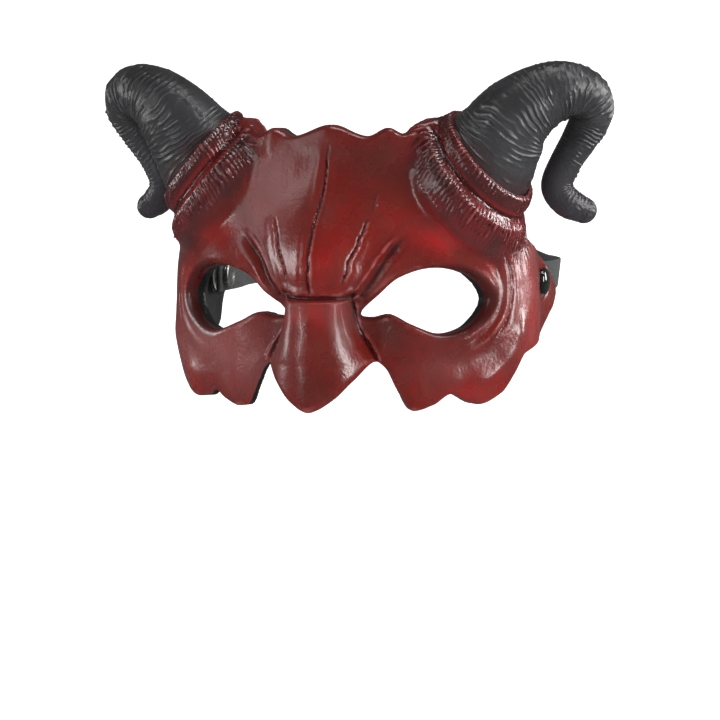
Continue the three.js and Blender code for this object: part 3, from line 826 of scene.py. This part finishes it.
def rivet_set(name, side, materials):
    for piece, node, body, slot, material, profile, count, closed in (
            ("snap_cap", "rivet_cap", "mask", "black_cap", "cap", cap_profile(), 96, False),
            ("rivet_post", "rivet_post", "mask", "steel", "steel", post_profile(), 64, False),
            ("nylon_washer", "rivet_washer", "mask", "nylon", "nylon", washer_profile(), 72, True),
            ("strap_grommet", "strap_eyelet", "strap", "steel", "steel", eyelet_profile(), 64, True)):
        solid = lathe(f"{piece}_{name}", profile, side, materials[material], count, closed)
        stands_for(solid, f"{node}_{name}", body)


# ---- strap
STRAP_LIFT, STRAP_LEAN = 7.5, 0.12
STRAP_PLAN = [(0, 14), (1, 26), (3.6, 40), (3.9, 55), (1, 72), (-9, 92), (-32, 110), (-STRAP_MIDDLE, 118)]
BAND_STEP, BAND_POINTS = 0.62, 46  # spacing of its sections, and points across each of its faces
WEFT = 1.24  # two sections to a turn of the weft
RIB_COUNT, BAND_WIDTH = 11, 14


def uniform_spline(points, samples):
    p = np.array(points, float)
    padded = np.vstack([p[:1], p, p[-1:]])
    t = np.arange(samples)[:, None] / samples
    out = []
    for p0, p1, p2, p3 in zip(padded, padded[1:], padded[2:], padded[3:]):
        v0, v1 = (p2 - p0) / 2, (p3 - p1) / 2
        cubic, square = 2 * (p1 - p2) + v0 + v1, 3 * (p2 - p1) - 2 * v0 - v1
        out.append(cubic * t ** 3 + square * t ** 2 + v0 * t + p1)
    return np.vstack(out + [p[-1:]])


def strap_path():
    """Middle line of the band in plan, from the folded tail on the left to the one on the right."""
    plan = uniform_spline([(STRAP_MIDDLE + x, y) for x, y in STRAP_PLAN], 24)
    half_ply = PLY / 2
    outer = STRAP_OUTER - half_ply
    bend = [((outer + STRAP_MIDDLE) / 2 + half_ply * math.cos(t), -8.3 - half_ply * math.sin(t))
            for t in np.linspace(0, math.pi, 9)]
    tail = [(outer, y) for y in np.arange(13.4, -8.3, -0.9)]
    run = [(STRAP_MIDDLE, y) for y in np.arange(-8, 14, 0.9)]
    half = np.vstack([tail, bend, run, plan])
    gaps = np.linalg.norm(np.diff(half, axis=0), axis=1)
    half = half[np.concatenate([[True], gaps > 0.05])]
    return np.vstack([half, (half * (-1, 1))[::-1][1:]])


def elastic(material):
    path = strap_path()
    at, middle = evenly(path, int(lengths_along(path)[-1] / BAND_STEP))
    along = unit_rows(np.gradient(middle, axis=0))
    out = np.stack([-along[:, 1], along[:, 0]], 1)
    v = np.linspace(-1, 1, BAND_POINTS)
    width = 6.95 * np.sign(v) * np.abs(v) ** 0.92
    ribs = 0.5 + 0.5 * np.cos(width / BAND_WIDTH * RIB_COUNT * 2 * math.pi)
    edge = np.sqrt(np.maximum(1 - np.abs(v) ** 14, 0))
    half = (0.42 + 0.14 * ribs) * np.maximum(edge, 0.12)
    weave = 0.05 * np.sin(at / WEFT * 2 * math.pi)[:, None]
    face = np.hstack([half + weave, -(half - weave)[:, ::-1]])
    up = np.concatenate([width, width[::-1]])
    points = np.stack([*(middle[:, k, None] + out[:, k, None] * face for k in (0, 1)),
                       np.broadcast_to(up, face.shape)], 2).reshape(-1, 3)
    x, y, z = points.T
    lean = STRAP_LEAN * smoothstep(y, 18, 50) * (1 - smoothstep(y, 60, 110))
    points = np.stack([x + np.sign(x) * lean * z, y, z + STRAP_LIFT * smoothstep(y, 88, 118)], 1)
    loop = 2 * BAND_POINTS
    faces = grid_faces(len(at), loop) + end_faces(len(at), loop)
    band = mesh_object("elastic_band", points, faces, material)
    add_values(band.data, along=np.repeat(at, loop), width=np.tile(up, len(at)))
    return band


# ---- materials
RED, DARK_RED, BRIGHT_RED = (0.165, 0.007, 0.005), (0.075, 0.006, 0.004), (0.26, 0.003, 0.0025)
BROWN, SOMBRE_RED, SHEEN_PINK = (0.05, 0.012, 0.007), (0.055, 0.008, 0.006), (0.16, 0.042, 0.04)
WINE, DARK_WINE = (0.085, 0.010, 0.011), (0.035, 0.011, 0.011)


def grey(value):
    return (value, value, value)


class Nodes:
    """Short way to write a material's nodes."""

    def __init__(self, name):
        self.material = bpy.data.materials.new(name)
        self.material.use_nodes = True
        self.tree = self.material.node_tree
        self.shader = self.tree.nodes["Principled BSDF"]

    def feed(self, socket, value):
        """Links a node's output to a socket, or sets the socket to a number or colour."""
        if isinstance(value, bpy.types.NodeSocket):
            self.tree.links.new(value, socket)
        elif isinstance(value, tuple):
            socket.default_value = (*value, 1)
        else:
            socket.default_value = value

    def add(self, kind, ins=None, **settings):
        node = self.tree.nodes.new("ShaderNode" + kind)
        for key, value in settings.items():
            setattr(node, key, value)
        for key, value in (ins or {}).items():
            self.feed(node.inputs[key], value)
        return node

    def where(self):
        return self.add("TexCoord").outputs["Object"]

    def value(self, name):
        return self.add("Attribute", attribute_name=name).outputs["Fac"]

    def grain(self, scale, detail=3, rough=0.5, warp=0.0):
        ins = {"Vector": self.where(), "Scale": scale, "Detail": detail, "Roughness": rough, "Distortion": warp}
        return self.add("TexNoise", ins).outputs["Fac"]

    def ramp(self, value, *stops):
        node = self.add("ValToRGB", {"Fac": value})
        for element, (place, colour) in zip(node.color_ramp.elements, stops):
            element.position = place
            element.color = (*(colour if isinstance(colour, tuple) else grey(colour)), 1)
        return node.outputs["Color"]

    def math(self, operation, a, b=0.0):
        return self.add("Math", {0: a, 1: b}, operation=operation).outputs[0]

    def share(self, mask, part):
        return self.math("MULTIPLY", mask, part)

    def negative(self, name):
        return self.math("MULTIPLY", self.value(name), -1.0)

    def mix(self, share, a, b):
        return self.add("Mix", {0: share, 6: a, 7: b}, data_type="RGBA").outputs[2]

    def bump(self, height, strength, distance, normal=None):
        ins = {"Height": height, "Strength": strength, "Distance": distance}
        if normal:
            ins["Normal"] = normal
        return self.add("Bump", ins).outputs["Normal"]

    def finish(self, **sockets):
        for key, value in sockets.items():
            self.feed(self.shader.inputs[key.replace("_", " ")], value)
        return self.material


def paint_colour(n):
    """Red paint airbrushed in patches, some of them painted light, with painted sheen, painted shade in the
    folds, and the crests paled by painted highlight and wear.
    """
    crest = n.mix(n.ramp(n.grain(55, 2), (0.35, 0.0), (0.65, 1.0)), WINE, DARK_WINE)
    base = n.mix(n.share(n.ramp(n.grain(38, 3, 0.55, 0.2), (0.3, 0.0), (0.7, 1.0)), 0.8), DARK_RED, RED)
    for mask, colour in (
            (n.value("warm"), BRIGHT_RED),
            (n.share(n.ramp(n.grain(75, 3, 0.55, 0.3), (0.42, 0.0), (0.75, 1.0)), 0.5), BROWN),
            (n.value("sombre"), SOMBRE_RED),
            (n.value("dusk"), SHEEN_PINK),
            (n.share(n.value("collar"), 0.9), crest),
            (n.share(n.value("ring"), 0.55), (0.028, 0.008, 0.008)),
            (n.share(n.value("valley"), 0.85), (0.26, 0.008, 0.008)),
            (n.share(n.value("rim"), 0.8), (0.02, 0.003, 0.003)),
            # Painted shade in the hollows.
            (n.share(n.ramp(n.negative("hollow"), (0.05, 0.0), (0.6, 1.0)), 0.35), (0.03, 0.003, 0.003)),
            # Painted shade in the sharp creases.
            (n.share(n.ramp(n.negative("stand"), (0.15, 0.0), (1.0, 1.0)), 0.7), (0.014, 0.002, 0.002)),
            # Painted highlight on the crests, with some wear of the paint.
            (n.share(n.ramp(n.value("stand"), (0.35, 0.0), (0.9, 1.0)), 0.4), (0.32, 0.09, 0.085))):
        base = n.mix(mask, base, colour)
    return base


def paint_material():
    """Painted foam, bare and black behind the ragged edge where the paint stops."""
    n = Nodes("painted_foam")
    ragged = n.math("ADD", n.value("paint"), n.share(n.math("SUBTRACT", n.grain(700, 2), 0.5), 0.5))
    painted = n.ramp(ragged, (0.35, 0.0), (0.6, 1.0))
    foam = n.mix(n.grain(900, 2), (0.003, 0.003, 0.0035), (0.007, 0.007, 0.0075))
    gloss = n.ramp(n.grain(60, 3, 0.55), (0.3, 0.2), (0.7, 0.36))
    for mask, rough in (
            (n.value("dry"), 0.7), (n.share(n.value("collar"), 0.85), 0.17), (n.value("bead"), 0.1)):
        gloss = n.mix(mask, gloss, grey(rough))
    leather = n.add("TexVoronoi", {"Vector": n.where(), "Scale": 900.0, "Randomness": 1.0},
                    feature="SMOOTH_F1").outputs["Distance"]
    normal = n.bump(n.grain(380, 4, 0.6), 0.13, 0.0012, n.bump(leather, 0.12, 0.0006))
    colour = n.mix(painted, foam, paint_colour(n))
    return n.finish(Base_Color=colour, Roughness=n.mix(painted, grey(0.5), gloss), Normal=normal,
                    Coat_Weight=0.15, Coat_Roughness=0.12, Specular_IOR_Level=0.5)


def horn_material():
    """Dark grey foam with polished crests lit by painted glints, painted shade in its creases, plum towards the
    tip and red overspray at the foot.
    """
    n = Nodes("horn_foam")
    polish_and_glint = n.ramp(n.value("stand"), (0.25, 0.0), (0.75, 1.0))
    plum = n.ramp(n.math("DIVIDE", n.value("along"), 160), (0.45, 0.0), (0.7, 1.0))
    wave = n.math("ADD", n.value("along"), n.share(n.grain(70, 2), -12.0))
    spray = n.ramp(n.math("DIVIDE", n.math("ADD", wave, 8.0), 14.0), (0.1, 1.0), (0.75, 0.0))
    tone = n.ramp(n.grain(45, 3, 0.55, 0.4), (0.3, (0.016, 0.016, 0.017)), (0.7, (0.03, 0.03, 0.032)))
    for mask, share, colour in (
            # Painted glints on the wrinkles' crests.
            (polish_and_glint, 0.6, (0.12, 0.117, 0.122)),
            # Painted shade in the wrinkles' creases.
            (n.ramp(n.negative("stand"), (0.15, 0.0), (0.8, 1.0)), 0.75, (0.004, 0.004, 0.0045)),
            (plum, 0.4, (0.026, 0.019, 0.029)), (spray, 0.45, (0.045, 0.008, 0.009))):
        tone = n.mix(n.share(mask, share), tone, colour)
    rough = n.mix(polish_and_glint, n.ramp(n.grain(120, 3), (0.3, 0.26), (0.7, 0.4)), grey(0.13))
    normal = n.bump(n.grain(700, 4, 0.65), 0.25, 0.0007, n.bump(n.grain(230, 3), 0.15, 0.001))
    return n.finish(Base_Color=tone, Roughness=rough, Normal=normal, Specular_IOR_Level=0.45)


def mottled(name, tone, colours, rough, levels, bump, **sockets):
    """Material with a slight variation in its colour, gloss and surface."""
    n = Nodes(name)
    return n.finish(Base_Color=n.mix(n.grain(*tone), *colours), Roughness=n.ramp(n.grain(*rough), *levels),
                    Normal=n.bump(n.grain(bump[0], 2), *bump[1:]), **sockets)


def cap_material():
    return mottled("black_cap", (300, 2), ((0.004, 0.006, 0.005), (0.008, 0.010, 0.009)), (220, 3),
                   ((0.35, 0.06), (0.75, 0.13)), (900, 0.03, 0.0003), Coat_Weight=0.5, Coat_Roughness=0.04)


def steel_material():
    return mottled("nickel_steel", (150, 3), ((0.52, 0.51, 0.48), (0.68, 0.67, 0.65)), (420, 3, 0.6, 0.8),
                   ((0.3, 0.2), (0.75, 0.38)), (1500, 0.08, 0.0002), Metallic=1.0)


def nylon_material():
    return mottled("nylon", (200, 2), ((0.56, 0.55, 0.50), (0.66, 0.65, 0.61)), (500, 2),
                   ((0.3, 0.4), (0.7, 0.55)), (1200, 0.1, 0.0002), Subsurface_Weight=0.1)


def webbing_material():
    n = Nodes("webbing")
    weft = n.math("SINE", n.math("MULTIPLY", n.value("along"), 2 * math.pi / 0.62))
    rib = n.math("SINE", n.math("MULTIPLY", n.value("width"), 2 * math.pi / 0.64))
    height = n.math("ADD", n.share(n.math("MULTIPLY", weft, rib), 0.5), 0.5)
    tone = n.mix(height, (0.007, 0.008, 0.0078), (0.022, 0.025, 0.024))
    tone = n.mix(n.ramp(n.grain(1800, 2), (0.45, 0.0), (0.8, 0.5)), tone, (0.045, 0.05, 0.048))
    normal = n.bump(height, 0.6, 0.0003, n.bump(n.grain(2600, 3), 0.3, 0.0002))
    return n.finish(Base_Color=tone, Roughness=0.82, Normal=normal, Sheen_Weight=0.1, Sheen_Roughness=0.5)


# ---- studio
FLOOR_DROP = 0.075  # metres under the mask, clear of the strap when it swings down
BACK_WALL, BEND, FLAT_FROM, HALF_WIDTH = 1.8, 0.9, -2.2, 14  # metres
LIGHTS = (  # name, place, aim, size, watts
    ("fill", (0.25, -1.4, 0.5), (0, -0.05, 0.0), (0.9, 0.6), 8),
    ("left_box", (-0.9, -0.9, 0.66), (0, -0.05, 0.02), (0.5, 0.7), 2.2),
    ("left_strip", (-0.68, -1.05, 0.17), (0, -0.05, -0.02), (0.05, 0.4), 1.5),
    ("left_side", (-1.18, -0.12, 0.2), (0, 0, 0), (0.3, 0.5), 3.4),
    ("right_box", (1.18, -0.21, 0.24), (0.05, -0.02, 0.0), (0.3, 0.56), 9.5),
    ("right_back", (1.04, 0.6, 0.3), (0.05, -0.02, 0.0), (0.22, 0.6), 7),
    ("rim", (0.7, -0.15, 0.9), (0.05, -0.04, 0.05), (0.1, 0.2), 2.6),
    ("top", (0.1, -0.1, 1.2), (0, 0, 0), (0.5, 0.16), 3))
CAMERA_TURN, CAMERA_RISE, CAMERA_DISTANCE = 16, 5.5, 1.1  # degrees round, degrees up, metres
CAMERA_RIGHT, CAMERA_UP = -0.0054545, -0.03727  # metres off the line through the middle of the mask


def backdrop():
    """White floor which bends up into a wall."""
    profile = [(-HALF_WIDTH, 0.0), (FLAT_FROM, 0.0), (BACK_WALL - BEND, 0.0)]
    profile += [(BACK_WALL - BEND + BEND * math.sin(t), BEND - BEND * math.cos(t))
                for t in np.linspace(0, math.pi / 2, 24)[1:]]
    profile += [(BACK_WALL, 4.0)]
    ground = cad_box[0][2] - FLOOR_DROP
    points = [(x, y, z + ground) for y, z in profile for x in (-HALF_WIDTH, HALF_WIDTH)]
    n = Nodes("backdrop")
    tone = n.mix(n.grain(3, 2), grey(0.88), grey(0.92))
    material = n.finish(Base_Color=tone, Roughness=0.95, Specular_IOR_Level=0.1,
                        Emission_Color=(1.0, 1.0, 1.0), Emission_Strength=0.72)
    faces = [(2 * i, 2 * i + 1, 2 * i + 3, 2 * i + 2) for i in range(len(profile) - 1)]
    sheet = mesh_object("backdrop", np.array(points) / MM, faces, material)
    sheet.visible_glossy = False


def lighting():
    world = bpy.data.worlds.new("studio")
    bpy.context.scene.world = world
    world.use_nodes = True
    background = world.node_tree.nodes["Background"]
    background.inputs["Color"].default_value = (1, 1, 1, 1)
    background.inputs["Strength"].default_value = 0.10
    for name, place, aim, size, watts in LIGHTS:
        light = bpy.data.lights.new(name, "AREA")
        light.shape = "RECTANGLE"
        light.size, light.size_y = size
        light.energy = watts
        lamp = bpy.data.objects.new(name, light)
        lamp.location = place
        lamp.visible_glossy = name != "fill"
        lamp.rotation_euler = (Vector(aim) - Vector(place)).to_track_quat("-Z", "Y").to_euler()
        bpy.context.scene.collection.objects.link(lamp)


def camera():
    turn, rise = math.radians(CAMERA_TURN), math.radians(CAMERA_RISE)
    back = Vector((math.sin(turn) * math.cos(rise), -math.cos(turn) * math.cos(rise), math.sin(rise)))
    right = Vector((math.cos(turn), math.sin(turn), 0))
    up = back.cross(right)
    lens = bpy.data.cameras.new("camera")
    lens.sensor_width = 36
    lens.lens = 121
    lens.clip_start = 0.01
    eye = bpy.data.objects.new("camera", lens)
    place = back * CAMERA_DISTANCE + right * CAMERA_RIGHT + up * CAMERA_UP
    eye.matrix_world = Matrix.Translation(place) @ Matrix((right, up, back)).transposed().to_4x4()
    bpy.context.scene.collection.objects.link(eye)
    bpy.context.scene.camera = eye


# ---- build
materials = {
    "paint": paint_material(), "horn": horn_material(), "cap": cap_material(), "steel": steel_material(),
    "nylon": nylon_material(), "webbing": webbing_material()}
stands_for(face_shell(materials["paint"]), "face_shell", "mask")
for name, side in SIDES.items():
    horn = horn_mesh(f"curled_horn_{name}", side, materials["horn"], 100 + side * 20)
    stands_for(horn, f"horn_{name}", "mask")
    rivet_set(name, side, materials)
stands_for(elastic(materials["webbing"]), "elastic_strap", "strap")
backdrop()
lighting()
camera()
bpy.context.scene.view_settings.view_transform = "Standard"
